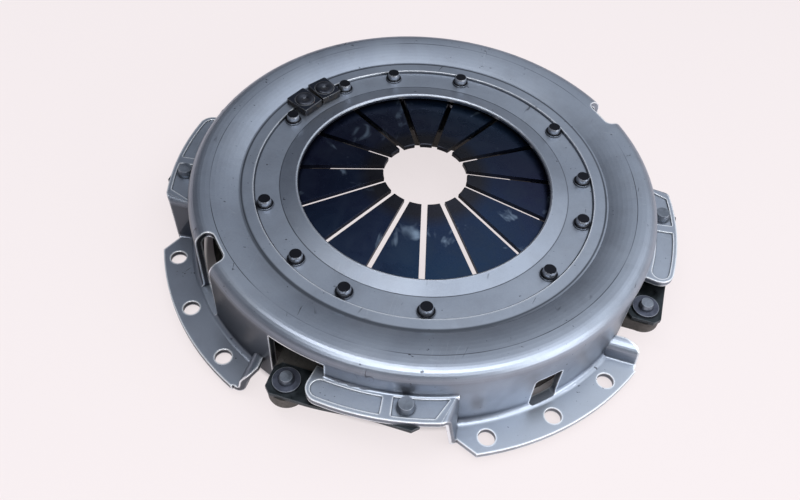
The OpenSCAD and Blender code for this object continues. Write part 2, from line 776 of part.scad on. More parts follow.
module strap_cover_rivets() {
  seat = pad_h - pad_recess;
  tail = pad_under - strap_t;
  color("#7b828c") around() at_strap_end(1) {
    translate([0, 0, tail - tail_t]) cylinder(h = tail_t, d = cover_head_d);
    translate([0, 0, tail]) cylinder(h = seat - tail, d = strap_shank_d);
    translate([0, 0, seat]) rivet_head(cover_head_d, cover_head_h);
  }
}

module strap_plate_rivets() {
  seat = lug_top + strap_t + washer_t;
  tail = lug_top - lug_t;
  color("#7b828c") around() at_strap_end(-1) {
    translate([0, 0, tail - tail_t]) cylinder(h = tail_t, d = plate_head_d);
    translate([0, 0, tail]) cylinder(h = seat - tail, d = strap_shank_d);
    translate([0, 0, seat]) rivet_head(plate_head_d, plate_head_h);
  }
}

module strap_washers() {
  color("#4a4d57") around() at_strap_end(-1) translate([0, 0, lug_top + strap_t]) difference() {
    cylinder(h = washer_t, d = washer_d);
    translate([0, 0, -overrun])
      cylinder(h = washer_t + 2 * overrun, d = strap_shank_d + 2 * shank_clearance);
  }
}

// A weight sits on the step, and its thicker inner half reaches down to the rivet ring.
module balance_weight(i, width) {
  half = width / 2;
  out_r = weight_from_r + weight_len;
  color("#2b2a2b") at_angle(weight_angles[i]) difference() {
    intersection() {
      union() {
        translate([-half, -out_r, step_face_h]) cube([width, weight_len, weight_t]);
        translate([-half, -step_r + step_slope_w, rivet_face_h])
          cube([width, step_r - step_slope_w - weight_from_r, weight_t]);
      }
      linear_extrude(weight_top) polygon([
        [-half, -out_r + weight_corner],
        [-half, -weight_from_r - weight_corner],
        [-half + weight_corner, -weight_from_r],
        [half - weight_corner, -weight_from_r],
        [half, -weight_from_r - weight_corner],
        [half, -out_r + weight_corner],
        [half - weight_corner, -out_r],
        [weight_corner - half, -out_r]
      ]);
    }
    translate([0, -weight_rivet_r, rivet_face_h - overrun])
      cylinder(h = weight_top, d = weight_shank_d + 2 * shank_clearance);
  }
}

module balance_weight_1() {
  balance_weight(0, weight_w1);
}

module balance_weight_2() {
  balance_weight(1, weight_w2);
}

module balance_rivets() {
  color("#55585e") for (angle = weight_angles) at_angle(angle) translate([0, -weight_rivet_r, 0]) {
    translate([0, 0, cover_under]) cylinder(h = weight_sink_t, d1 = weight_sink_d, d2 = weight_shank_d);
    translate([0, 0, cover_under]) cylinder(h = weight_top - cover_under, d = weight_shank_d);
    translate([0, 0, weight_top]) cylinder(h = weight_head_h / 2, d = weight_head_d);
    translate([0, 0, weight_top + weight_head_h / 2])
      cylinder(h = weight_head_h / 2, d1 = weight_head_d, d2 = weight_shank_d);
  }
}

cover();
pressure_plate();
fulcrum_ring_upper();
fulcrum_ring_lower();
stud_rivets();
for (i = [0:finger_count - 1])
  finger(i);
for (i = [0:quarter_count - 1])
  drive_strap(i);
strap_cover_rivets();
strap_plate_rivets();
strap_washers();
balance_weight_1();
balance_weight_2();
balance_rivets();
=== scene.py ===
import math

import bmesh
import bpy
from mathutils import Matrix, Vector


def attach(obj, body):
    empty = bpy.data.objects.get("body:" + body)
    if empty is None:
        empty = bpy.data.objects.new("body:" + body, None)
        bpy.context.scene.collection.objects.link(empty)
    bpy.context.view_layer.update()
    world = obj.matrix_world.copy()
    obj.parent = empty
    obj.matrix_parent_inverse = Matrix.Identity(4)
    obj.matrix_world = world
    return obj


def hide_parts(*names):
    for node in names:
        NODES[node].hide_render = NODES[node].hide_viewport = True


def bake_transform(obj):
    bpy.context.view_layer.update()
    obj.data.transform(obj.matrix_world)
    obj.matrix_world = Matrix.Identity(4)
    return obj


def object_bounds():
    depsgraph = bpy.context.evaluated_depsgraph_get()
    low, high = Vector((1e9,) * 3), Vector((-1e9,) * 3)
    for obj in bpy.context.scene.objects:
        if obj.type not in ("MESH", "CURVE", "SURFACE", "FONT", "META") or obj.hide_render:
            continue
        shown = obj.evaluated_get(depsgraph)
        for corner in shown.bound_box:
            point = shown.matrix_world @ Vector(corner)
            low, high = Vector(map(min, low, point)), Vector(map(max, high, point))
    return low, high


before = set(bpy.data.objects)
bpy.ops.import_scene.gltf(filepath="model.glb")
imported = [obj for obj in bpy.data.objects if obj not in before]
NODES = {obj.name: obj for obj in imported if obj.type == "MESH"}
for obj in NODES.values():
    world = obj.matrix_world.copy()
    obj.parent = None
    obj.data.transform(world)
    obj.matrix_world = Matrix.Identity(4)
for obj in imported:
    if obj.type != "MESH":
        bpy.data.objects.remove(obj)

cad_low, cad_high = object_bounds()
MM = 0.001
FINGERS = [f"finger_{i:02d}" for i in range(1, 16)]
QUARTERS = range(4)
RIGHT_ANGLE = 90

# Camera and background of the photograph.
IMAGE_W = 800
FOCAL_PX = 812.744
SENSOR_MM = 36.0
CAMERA_AT = Vector((80.97, -390.22, 458.51)) * MM
CAMERA_FORWARD = Vector((-0.14908, 0.61637, -0.77321))
CAMERA_LEVEL_RIGHT = Vector((0.97198, 0.23508, 0.0))
CAMERA_ROLL = 0.084
CLIP_START = 0.01
BACKGROUND = (0.938, 0.863, 0.871, 1.0)

# The floor: how far it lies below the part and how far it reaches, its colour where light falls on it,
# and how much of it shows the plain background instead, to the camera and in mirror images.
FLOOR_GAP = 0.2 * MM
FLOOR_REACH = 8.0
FLOOR_LIT = (0.70, 0.644, 0.65, 1.0)
FLOOR_SEEN = 0.80
FLOOR_MIRRORED = 0.40

# The ring of floor below the rim that shows its own shadow.
SHADE_FROM_R = 98.0 * MM
SHADE_TO_R = 156.0 * MM
SHADE_FADE = 6.0 * MM

# The floor turns into the plain background between these distances.
PLAIN_FROM_R = 0.4
PLAIN_TO_R = 1.0

# Direction of the sky's brighter side, its colours by closeness to that direction, and the heights
# over which the sky takes over from the background.
BRIGHT_SIDE = (0.45, 0.25, 0.86)
SKY_STOPS = (
    (0.50, (0.12, 0.132, 0.16)),
    (0.62, (0.34, 0.365, 0.41)),
    (0.80, (0.62, 0.66, 0.72)),
    (0.94, (1.45, 1.52, 1.62)),
)
SKY_FROM = 0.03
SKY_TO = 0.20
COOL_WHITE = (0.95, 0.98, 1.0)

# Dark lines on the cover, as circles round the axis: radius, half width, and how far the line fades in
# places. Those at the feet of the lip, the step and the shoulder are painted shade, and further out is
# a broken draw line that pressing leaves.
LIP_LINE = (100.4 * MM, 0.45 * MM, 0.3)
STEP_LINE = (117.3 * MM, 0.45 * MM, 0.5)
GROOVE_LINE = (126.2 * MM, 0.9 * MM, 0.2)
DRAW_LINE = (146.5 * MM, 0.35 * MM, 1.0)

# On the -Y side the painted shade line in the groove at the shoulder's foot is wider. The wide line
# fades out between these two places.
WIDE_GROOVE_LINE = (126.7 * MM, 1.9 * MM, 0.0)
WIDE_GROOVE_Y = -105.0 * MM
NARROW_GROOVE_Y = -30.0 * MM

# Painted shade towards -X and painted light towards +X on the cover, most of all on the low bolting segments.
SHADED_SIDE_X = -90.0 * MM
LIT_SIDE_X = 100.0 * MM
SEGMENT_TOP = 4.0 * MM
SEGMENT_FADE = 1.0 * MM


def rgb(r, g, b):
    return (r, g, b, 1.0)


class Graph:
    """A node tree, and short calls for the nodes that its shaders need."""

    def __init__(self, tree, place):
        self.tree = tree
        self.place = self.node("ShaderNodeTexCoord").outputs[place]

    def node(self, kind, **settings):
        made = self.tree.nodes.new(kind)
        for key, value in settings.items():
            setattr(made, key, value)
        return made

    def put(self, value, socket):
        """Links an output, or sets a plain value, on a socket."""
        if isinstance(value, bpy.types.NodeSocket):
            self.tree.links.new(value, socket)
        else:
            socket.default_value = value

    def calc(self, kind, *values):
        made = self.node("ShaderNodeMath", operation=kind)
        for value, socket in zip(values, made.inputs):
            self.put(value, socket)
        return made.outputs["Value"]

    def plus(self, first, second):
        return self.calc("ADD", first, second)

    def times(self, first, second):
        return self.calc("MULTIPLY", first, second)

    def most(self, first, second):
        return self.calc("MAXIMUM", first, second)

    def rest(self, share):
        """What a share leaves of 1."""
        return self.calc("SUBTRACT", 1.0, share)

    def apart(self, first, second):
        """How far two values lie apart."""
        return self.calc("ABSOLUTE", self.calc("SUBTRACT", first, second))

    def span(self, value, low, high, to_low=0.0, to_high=1.0, **settings):
        """Turns the range from low to high into the range from to_low to to_high."""
        made = self.node("ShaderNodeMapRange", **settings)
        given = {"Value": value, "From Min": low, "From Max": high, "To Min": to_low, "To Max": to_high}
        for name, number in given.items():
            self.put(number, made.inputs[name])
        return made.outputs["Result"]

    def mix(self, share, first, second):
        """A colour between two colours."""
        made = self.node("ShaderNodeMix", data_type="RGBA")
        self.put(share, made.inputs[0])
        self.put(first, made.inputs[6])
        self.put(second, made.inputs[7])
        return made.outputs[2]

    def mix_shaders(self, share, first, second):
        made = self.node("ShaderNodeMixShader")
        for value, socket in zip((share, first, second), made.inputs):
            self.put(value, socket)
        return made.outputs["Shader"]

    def split(self, vector, axis):
        parts = self.node("ShaderNodeSeparateXYZ")
        self.put(vector, parts.inputs["Vector"])
        return parts.outputs[axis]

    def along(self, axis):
        """The place along X, Y or Z."""
        return self.split(self.place, axis)

    def radius(self):
        """Distance from the clutch axis."""
        flat = self.node("ShaderNodeVectorMath", operation="MULTIPLY")
        self.put(self.place, flat.inputs[0])
        self.put((1.0, 1.0, 0.0), flat.inputs[1])
        length = self.node("ShaderNodeVectorMath", operation="LENGTH")
        self.put(flat.outputs["Vector"], length.inputs[0])
        return length.outputs["Value"]


class Shade(Graph):
    """A material with a principled shader."""

    def __init__(self, name):
        self.material = bpy.data.materials.new(name)
        self.material.use_nodes = True
        super().__init__(self.material.node_tree, "Object")
        self.shader = self.tree.nodes["Principled BSDF"]

    def mapped(self, **values):
        mapping = self.node("ShaderNodeMapping")
        self.put(self.place, mapping.inputs["Vector"])
        for name, value in values.items():
            self.put(value, mapping.inputs[name])
        return mapping.outputs["Vector"]

    def noise(self, scale, detail=3.0, rough=0.55, place=None, warp=0.0):
        made = self.node("ShaderNodeTexNoise")
        given = {"Vector": place or self.place, "Scale": scale, "Detail": detail, "Roughness": rough,
                 "Distortion": warp}
        for name, value in given.items():
            self.put(value, made.inputs[name])
        return made.outputs["Fac"]

    def normal_z(self):
        """1 where the surface faces up, 0 where it is upright, and -1 where it faces down."""
        return self.split(self.node("ShaderNodeNewGeometry").outputs["Normal"], "Z")

    def ring(self, radius, half_w, patchy):
        """1 on a thin circle round the clutch axis; patchy lets it fade in places."""
        line = self.span(self.apart(self.radius(), radius), half_w * 0.4, half_w, 1.0, 0.0)
        fade = self.span(self.noise(14.0, detail=2.0), 0.38, 0.60, 1.0 - patchy, 1.0)
        return self.times(line, fade)

    def lines(self, scale, turn, width):
        """Thin stray lines, 1 on a line and 0 beside it."""
        wave = self.noise(1.0, detail=1.0, rough=0.4, place=self.mapped(Scale=scale, Rotation=turn))
        line = self.span(self.apart(wave, 0.5), 0.0, width, 1.0, 0.0)
        patch = self.span(self.noise(30.0, detail=2.0), 0.56, 0.62)
        return self.times(line, patch)

    def hidden(self, reach, inside=False):
        """Grows from 0 on open surface towards 1 in a crease, or with inside on an outer edge."""
        made = self.node("ShaderNodeAmbientOcclusion", samples=8, inside=inside)
        self.put(reach, made.inputs["Distance"])
        return self.rest(made.outputs["AO"])

    def rounded(self, radius):
        made = self.node("ShaderNodeBevel", samples=4)
        self.put(radius, made.inputs["Radius"])
        return made.outputs["Normal"]

    def bump(self, height, depth, strength, under):
        made = self.node("ShaderNodeBump")
        self.put(strength, made.inputs["Strength"])
        self.put(depth, made.inputs["Distance"])
        self.put(height, made.inputs["Height"])
        if under:
            self.put(under, made.inputs["Normal"])
        return made.outputs["Normal"]

    def paint(self, base, share, strength, colour):
        """Lays a colour over the base where share is 1, at most as strongly as strength says."""
        return self.mix(self.times(share, strength), base, colour)

    def finish(self, **values):
        for name, value in values.items():
            self.put(value, self.shader.inputs[name.replace("_", " ")])
        return self.material


def shade_and_draw_lines(s):
    """Painted shade lines at the feet of the lip, step and shoulder, and a draw line from pressing, 1 on a
    line.
    """
    lines = s.ring(*LIP_LINE)
    for line in (STEP_LINE, GROOVE_LINE, DRAW_LINE):
        lines = s.most(lines, s.ring(*line))
    wide = s.span(s.along("Y"), WIDE_GROOVE_Y, NARROW_GROOVE_Y, 1.0, 0.0)
    return s.most(lines, s.times(wide, s.ring(*WIDE_GROOVE_LINE)))


def nicks(s):
    """Small dark pits and ticks, 1 in a nick."""
    pit_place = s.mapped(Scale=(1.0, 1.6, 1.0), Rotation=(0.0, 0.0, 0.7))
    pit = s.span(s.noise(300.0, detail=2.0, rough=0.5, place=pit_place), 0.70, 0.73)
    pit = s.times(pit, s.span(s.noise(38.0, detail=1.0), 0.52, 0.58))
    tick = s.lines((90.0, 25.0, 60.0), (0.5, 0.2, 1.1), 0.016)
    tick = s.times(tick, s.span(s.noise(70.0, detail=1.0), 0.57, 0.61))
    return s.most(pit, tick)


def pressed_steel():
    """Satin sheet steel: cloudy and grained; painted highlight on worn edges, painted shade where upright or
    sheltered.
    """
    s = Shade("pressed_steel")
    cloud = s.noise(9.0, detail=4.0, rough=0.6, warp=0.6)
    grain = s.noise(1100.0, detail=2.0, rough=0.6)
    blotch = s.span(s.noise(60.0, detail=4.0, rough=0.65, warp=0.5), 0.45, 0.7)
    scratch = s.most(s.lines((210.0, 9.0, 60.0), (0.3, 0.2, 0.5), 0.010),
                     s.lines((12.0, 230.0, 50.0), (0.1, 0.4, -0.3), 0.010))
    crease = s.span(s.hidden(2.2 * MM), 0.14, 0.42)
    edge = s.span(s.hidden(1.45 * MM, inside=True), 0.10, 0.32)
    shelter_shade = s.span(s.hidden(14.0 * MM), 0.12, 0.60)

    # Painted light towards +X, painted shade towards -X.
    lit_side = s.span(s.along("X"), SHADED_SIDE_X, LIT_SIDE_X)
    segment = s.span(s.along("Z"), SEGMENT_TOP, SEGMENT_TOP + SEGMENT_FADE, 0.75, 0.0)
    upright = s.span(s.normal_z(), 0.05, s.span(lit_side, 0.0, 1.0, 0.80, 0.60), 1.0, 0.0)
    patchy_shade = s.span(s.noise(16.0, detail=3.0, rough=0.6, warp=0.4), 0.35, 0.65, 0.0, 0.45)
    patchy_shade = s.most(patchy_shade, s.rest(lit_side))

    scratch_and_sheen_steel = rgb(0.52, 0.56, 0.62)
    base = s.mix(s.span(cloud, 0.3, 0.7), rgb(0.255, 0.285, 0.345), rgb(0.33, 0.365, 0.43))
    base = s.mix(s.span(grain, 0.25, 0.8, 0.0, 0.25), base, rgb(0.42, 0.46, 0.52))
    base = s.paint(base, blotch, 0.16, rgb(0.17, 0.17, 0.18))
    base = s.paint(base, scratch, 0.22, scratch_and_sheen_steel)
    # On the low segments: painted light towards +X, painted shade towards -X.
    base = s.paint(base, segment, lit_side, scratch_and_sheen_steel)
    base = s.paint(base, segment, s.rest(lit_side), rgb(0.16, 0.17, 0.205))
    # Painted shade on upright faces, in patches and most towards -X.
    base = s.paint(base, upright, patchy_shade, rgb(0.052, 0.055, 0.064))
    # Painted shade where upright faces are sheltered.
    base = s.paint(base, s.times(shelter_shade, upright), 0.8, rgb(0.04, 0.045, 0.06))
    # Worn edges, lightened further as a painted highlight.
    base = s.paint(base, edge, 0.92, rgb(0.95, 0.97, 1.0))
    # Painted shade in creases.
    base = s.paint(base, crease, 0.75, rgb(0.045, 0.05, 0.06))
    # Painted shade lines at the feet of the lip, step and shoulder, and the draw line.
    base = s.paint(base, shade_and_draw_lines(s), 0.85, rgb(0.035, 0.04, 0.05))
    base = s.paint(base, nicks(s), 0.85, rgb(0.04, 0.04, 0.05))

    rough = s.plus(s.span(cloud, 0.3, 0.7, 0.33, 0.43), s.span(grain, 0.2, 0.8, -0.03, 0.04))
    normal = s.bump(grain, 0.025 * MM, 0.5, s.rounded(0.5 * MM))
    normal = s.bump(s.noise(26.0, detail=2.0), 0.25 * MM, 0.22, normal)
    return s.finish(Base_Color=base, Metallic=0.95, Roughness=rough, Normal=normal)


def oiled_spring():
    """Blue-black spring steel under an oil film, with pale patches and painted shade towards the tips."""
    s = Shade("oiled_spring")
    cloud = s.noise(21.0, detail=4.0, rough=0.55, place=s.mapped(Location=(0.8, 0.35, 0.0)), warp=1.4)
    film = s.noise(55.0, detail=4.0, rough=0.6, warp=0.8)
    tint = s.noise(8.0, detail=2.0, rough=0.5)
    grain = s.noise(1300.0, detail=2.0)
    tip_shade = s.span(s.radius(), 38.0 * MM, 48.0 * MM, 1.0, 0.0)
    patch = s.times(s.span(cloud, 0.595, 0.64), s.span(film, 0.42, 0.60, 0.10, 0.8))

    base = s.mix(s.span(tint, 0.35, 0.65), rgb(0.009, 0.012, 0.036), rgb(0.007, 0.021, 0.050))
    base = s.mix(s.span(film, 0.45, 0.75, 0.0, 0.35), base, rgb(0.018, 0.028, 0.044))
    # Painted shade darkens the steel towards the finger tips.
    base = s.paint(base, tip_shade, 0.8, rgb(0.014, 0.012, 0.012))
    base = s.paint(base, patch, s.rest(tip_shade), rgb(0.19, 0.25, 0.33))
    base = s.mix(s.span(grain, 0.3, 0.8, 0.0, 0.08), base, rgb(0.10, 0.12, 0.15))
    rough = s.span(film, 0.3, 0.7, 0.20, 0.40)
    normal = s.bump(grain, 0.015 * MM, 0.3, s.rounded(0.25 * MM))
    normal = s.bump(film, 0.10 * MM, 0.25, normal)
    return s.finish(Base_Color=base, Metallic=0.9, Roughness=rough, Normal=normal)


def dark_steel(name, dark, light, rough_low, rough_high, rim=0.0):
    """Dark steel; rim is how far its outer edges are worn to bare metal and lit by a painted highlight."""
    s = Shade(name)
    cloud = s.noise(120.0, detail=4.0, rough=0.6, warp=0.5)
    grain = s.noise(1200.0, detail=2.0)
    edge = s.span(s.hidden(0.6 * MM, inside=True), 0.12, 0.40)
    crease = s.span(s.hidden(1.5 * MM), 0.15, 0.45)

    base = s.mix(s.span(cloud, 0.3, 0.75), dark, light)
    base = s.mix(s.span(grain, 0.55, 0.85, 0.0, 0.35), base, light)
    # Worn outer edges, lightened further as a painted highlight.
    base = s.paint(base, edge, rim, rgb(0.50, 0.53, 0.58))
    # Painted shade in creases.
    base = s.paint(base, crease, 0.6, rgb(0.01, 0.01, 0.012))
    rough = s.span(cloud, 0.3, 0.7, rough_low, rough_high)
    normal = s.bump(grain, 0.02 * MM, 0.4, s.rounded(0.3 * MM))
    normal = s.bump(cloud, 0.06 * MM, 0.4, normal)
    return s.finish(Base_Color=base, Metallic=0.85, Roughness=rough, Normal=normal)


def black_studs():
    """Black oxide on the flat tops; bare worn metal on the edges and sides, painted lighter as a highlight.
    """
    s = Shade("black_studs")
    cloud = s.noise(150.0, detail=4.0, rough=0.6, warp=0.5)
    top = s.span(s.normal_z(), 0.90, 0.985)
    crease = s.span(s.hidden(1.6 * MM), 0.15, 0.45)

    # Bare metal on the sides, light enough to stand as a painted highlight; black oxide on the tops.
    base = s.mix(cloud, rgb(0.24, 0.255, 0.29), rgb(0.40, 0.42, 0.46))
    base = s.mix(top, base, rgb(0.012, 0.013, 0.018))
    # Painted shadow in the creases round the studs.
    base = s.paint(base, crease, 0.85, rgb(0.012, 0.012, 0.015))
    rough = s.span(cloud, 0.3, 0.7, 0.26, 0.42)
    normal = s.bump(cloud, 0.08 * MM, 0.4, s.rounded(0.25 * MM))
    return s.finish(Base_Color=base, Metallic=0.9, Roughness=rough, Normal=normal)


def weight_steel():
    """Blackened weights with worn edges lightened as a painted highlight, brownish sides and a little rust.
    """
    s = Shade("weight_steel")
    cloud = s.noise(90.0, detail=4.0, rough=0.6, warp=0.5)
    side = s.span(s.normal_z(), 0.35, 0.8, 1.0, 0.0)
    rust = s.span(s.noise(150.0, detail=3.0, rough=0.6, warp=0.6), 0.66, 0.70)
    edge = s.span(s.hidden(0.7 * MM, inside=True), 0.12, 0.40)

    base = s.mix(cloud, rgb(0.012, 0.015, 0.024), rgb(0.030, 0.036, 0.052))
    base = s.paint(base, side, s.span(cloud, 0.35, 0.65, 0.1, 0.7), rgb(0.10, 0.08, 0.055))
    # Worn edges, lightened further as a painted highlight.
    base = s.paint(base, edge, 0.8, rgb(0.46, 0.46, 0.47))
    base = s.paint(base, rust, 0.6, rgb(0.22, 0.07, 0.025))
    rough = s.span(cloud, 0.3, 0.7, 0.30, 0.42)
    normal = s.bump(cloud, 0.12 * MM, 0.4, s.rounded(0.3 * MM))
    return s.finish(Base_Color=base, Metallic=0.85, Roughness=rough, Normal=normal)


def cast_iron():
    """Rough cast skin of the pressure plate, its greys darkened as painted shade, with painted shade in
    creases.
    """
    s = Shade("cast_iron")
    skin = s.noise(420.0, detail=4.0, rough=0.65)
    cloud = s.noise(30.0, detail=4.0, rough=0.6, warp=0.5)
    crease = s.span(s.hidden(4.0 * MM), 0.15, 0.5)

    # Dark cast greys, made darker still as painted shade.
    base = s.mix(s.span(cloud, 0.3, 0.7), rgb(0.055, 0.05, 0.048), rgb(0.12, 0.11, 0.10))
    base = s.mix(s.span(skin, 0.5, 0.8, 0.0, 0.5), base, rgb(0.035, 0.030, 0.028))
    # Painted shade in creases.
    base = s.paint(base, crease, 0.6, rgb(0.012, 0.011, 0.011))
    rough = s.span(skin, 0.3, 0.7, 0.48, 0.66)
    normal = s.bump(skin, 0.2 * MM, 0.7, None)
    return s.finish(Base_Color=base, Metallic=0.7, Roughness=rough, Normal=normal)


def floor_material():
    """A lit surface with the background's colour mixed in by kind of ray, but not under the rim."""
    s = Shade("pale_floor")
    s.tree.nodes.remove(s.shader)
    lit = s.node("ShaderNodeBsdfDiffuse")
    s.put(FLOOR_LIT, lit.inputs["Color"])
    glow = s.node("ShaderNodeEmission")
    s.put(BACKGROUND, glow.inputs["Color"])

    rays = s.node("ShaderNodeLightPath").outputs
    seen = s.most(rays["Is Camera Ray"], rays["Is Transmission Ray"])
    plain = s.most(s.times(seen, FLOOR_SEEN), s.times(rays["Is Glossy Ray"], FLOOR_MIRRORED))
    under = s.times(s.span(s.radius(), SHADE_FROM_R, SHADE_FROM_R + SHADE_FADE),
                    s.span(s.radius(), SHADE_TO_R, SHADE_TO_R + SHADE_FADE, 1.0, 0.0))
    far = s.span(s.radius(), PLAIN_FROM_R, PLAIN_TO_R)
    share = s.most(s.times(plain, s.rest(under)), s.times(far, rays["Is Camera Ray"]))
    shown = s.mix_shaders(share, lit.outputs["BSDF"], glow.outputs["Emission"])
    s.put(shown, s.tree.nodes["Material Output"].inputs["Surface"])
    return s.material


def lay_floor():
    z = cad_low.z - FLOOR_GAP
    corners = [(x * FLOOR_REACH, y * FLOOR_REACH, z) for x, y in ((-1, -1), (1, -1), (1, 1), (-1, 1))]
    mesh = bpy.data.meshes.new("floor")
    mesh.from_pydata(corners, [], [(0, 1, 2, 3)])
    mesh.materials.append(floor_material())
    floor = bpy.data.objects.new("floor", mesh)
    bpy.context.scene.collection.objects.link(floor)


def light_world():
    """The plain background up to a little over the horizon, and above it a soft sky, brighter on one side."""
    world = bpy.data.worlds.new("studio")
    bpy.context.scene.world = world
    world.use_nodes = True
    world.node_tree.nodes.clear()
    g = Graph(world.node_tree, "Generated")
    toward = g.node("ShaderNodeVectorMath", operation="DOT_PRODUCT")
    g.put(g.place, toward.inputs[0])
    g.put(BRIGHT_SIDE, toward.inputs[1])

    sky = g.node("ShaderNodeValToRGB")
    g.put(toward.outputs["Value"], sky.inputs["Fac"])
    stops = sky.color_ramp.elements
    for stop, (at, colour) in zip((stops[0], stops[1]), (SKY_STOPS[0], SKY_STOPS[-1])):
        stop.position = at
        stop.color = rgb(*colour)
    for at, colour in SKY_STOPS[1:-1]:
        stops.new(at).color = rgb(*colour)

    high = g.span(g.along("Z"), SKY_FROM, SKY_TO, interpolation_type="SMOOTHSTEP")
    room = g.node("ShaderNodeBackground")
    g.put(g.mix(high, BACKGROUND, sky.outputs["Color"]), room.inputs["Color"])
    plain = g.node("ShaderNodeBackground")
    g.put(BACKGROUND, plain.inputs["Color"])
    seen = g.node("ShaderNodeLightPath").outputs["Is Camera Ray"]
    shown = g.mix_shaders(seen, room.outputs["Background"], plain.outputs["Background"])
    g.put(shown, g.node("ShaderNodeOutputWorld").inputs["Surface"])


def soft_box(name, at, size, power, colour):
    """An area light of the given size in metres that looks at the object."""
    light = bpy.data.lights.new(name, "AREA")
    light.shape = "RECTANGLE"
    width, height = size
    light.size = width
    light.size_y = height
    light.energy = power
    light.color = colour
    lamp = bpy.data.objects.new(name, light)
    lamp.location = at
    lamp.rotation_euler = (-Vector(at)).to_track_quat("-Z", "Y").to_euler()
    bpy.context.scene.collection.objects.link(lamp)


def set_lights():
    soft_box("box_front", at=(0.38, -0.79, 1.30), size=(2.0, 0.55), power=16.0, colour=COOL_WHITE)
    soft_box("box_right", at=(1.4, -0.50, 0.55), size=(0.9, 0.5), power=9.0, colour=COOL_WHITE)
    soft_box("box_top", at=(-0.20, -0.34, 1.45), size=(0.9, 0.40), power=6.5, colour=(1.0, 1.0, 1.0))


def set_camera():
    data = bpy.data.cameras.new("camera")
    data.sensor_fit = "HORIZONTAL"
    data.sensor_width = SENSOR_MM
    data.lens = SENSOR_MM * FOCAL_PX / IMAGE_W
    data.clip_start = CLIP_START
    camera = bpy.data.objects.new("camera", data)
    back = -CAMERA_FORWARD.normalized()
    level_up = back.cross(CAMERA_LEVEL_RIGHT).normalized()
    level_right = level_up.cross(back)
    right = math.cos(CAMERA_ROLL) * level_right + math.sin(CAMERA_ROLL) * level_up
    up = math.cos(CAMERA_ROLL) * level_up - math.sin(CAMERA_ROLL) * level_right
    turn = Matrix((right, up, back)).transposed()
    camera.matrix_world = Matrix.Translation(CAMERA_AT) @ turn.to_4x4()
    bpy.context.scene.collection.objects.link(camera)
    bpy.context.scene.camera = camera


def finished(mesh, name):
    """Turns an edit mesh into a named mesh and frees it."""
    made = bpy.data.meshes.new(name)
    mesh.to_mesh(made)
    mesh.free()
    return made


def add_piece(mesh, material):
    """An object with its mesh's name and one material."""
    piece = bpy.data.objects.new(mesh.name, mesh)
    bpy.context.scene.collection.objects.link(piece)
    mesh.materials.append(material)
    return piece


def round_edges(piece, width, segments):
    bevel = piece.modifiers.new("edges", "BEVEL")
    bevel.width = width
    bevel.segments = segments


# Straps, in millimetres: leaves between a pad of the cover and a lug of the plate, each strap in a
# frame of its own with X along the strap. A strap lies at STRAP_ANGLE and a quarter turn on each time.
STRAP_ANGLE = 270.2
STRAP_OFFSET = 165.6
STRAP_PITCH = 74.6
STRAP_END = 11.0
STRAP_W = 22.5
STRAP_CLIP = 4.0
STRAP_FLAT = 12.0
STRAP_DROP = 7.1
STRAP_STEPS = 40
STRAP_EDGE = 0.12
LUG_TOP = 22.7
LEAF_T = 1.0
LEAF_PITCH = 1.05
LEAVES = 3
STRAP_HALF_L = STRAP_PITCH / 2 + STRAP_END
STRAP_FLAT_X = STRAP_PITCH / 2 - STRAP_FLAT


def strap_place(k):
    turn = Matrix.Rotation(math.radians(STRAP_ANGLE + RIGHT_ANGLE * k + RIGHT_ANGLE), 4, "Z")
    return turn @ Matrix.Translation((0.0, -STRAP_OFFSET * MM, 0.0))


def strap_rows():
    """Places along a strap: its clipped corners at both ends and even steps between its flats."""
    clipped = (STRAP_HALF_L, STRAP_HALF_L - STRAP_CLIP / 2, STRAP_HALF_L - STRAP_CLIP)
    middle = [STRAP_FLAT_X * (2 * i / STRAP_STEPS - 1) for i in range(STRAP_STEPS + 1)]
    return [-x for x in clipped] + middle + list(reversed(clipped))


def strap_section(x, leaf):
    """The four corners of a leaf at x, on an S curve from the lug up to the pad."""
    share = min(max(x / STRAP_FLAT_X, -1.0), 1.0)
    rise = STRAP_DROP * (1 + math.sin(math.pi / 2 * share)) / 2
    z = LUG_TOP + rise + leaf * LEAF_PITCH
    half_w = STRAP_W / 2 - max(0.0, STRAP_CLIP - (STRAP_HALF_L - abs(x)))
    corners = ((-half_w, z), (half_w, z), (half_w, z + LEAF_T), (-half_w, z + LEAF_T))
    return [(x * MM, y * MM, level * MM) for y, level in corners]


def strap_mesh(k):
    mesh = bmesh.new()
    for leaf in range(LEAVES):
        rings = [[mesh.verts.new(point) for point in strap_section(x, leaf)] for x in strap_rows()]
        for first, second in zip(rings, rings[1:]):
            for i in range(4):
                j = (i + 1) % 4
                mesh.faces.new((first[i], first[j], second[j], second[i]))
        mesh.faces.new(reversed(rings[0]))
        mesh.faces.new(rings[-1])
    bmesh.ops.recalc_face_normals(mesh, faces=mesh.faces)
    mesh.transform(strap_place(k))
    return finished(mesh, f"strap_pack_{k + 1}")


def add_straps(material):
    for k in QUARTERS:
        piece = add_piece(strap_mesh(k), material)
        round_edges(piece, STRAP_EDGE * MM, segments=2)
        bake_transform(piece)
        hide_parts(f"drive_strap_{k + 1}")


# Balance weights, in millimetres: a plate that sits on the rivet ring and on the step, and its wide
# low rivet head, given as radius and height over the plate from the head's middle to its foot.
WEIGHT_ANGLES = (157.4, 147.7)
WEIGHT_WIDTHS = (17.6, 16.4)
WEIGHT_IN_R = 106.0
WEIGHT_OUT_R = 126.0
WEIGHT_CORNER_R = 1.3
WEIGHT_EDGE = 0.4
WEIGHT_STEP_R = 117.05
WEIGHT_TOP = 57.0
STEP_FACE_H = 53.25
RIVET_FACE_H = 51.45
WEIGHT_RIVET_R = 115.5
WEIGHT_HEAD = ((0.0, 0.55), (1.3, 0.55), (1.9, 1.25), (5.6, 1.45), (6.6, 1.2), (7.1, 0.6), (7.2, -0.4))


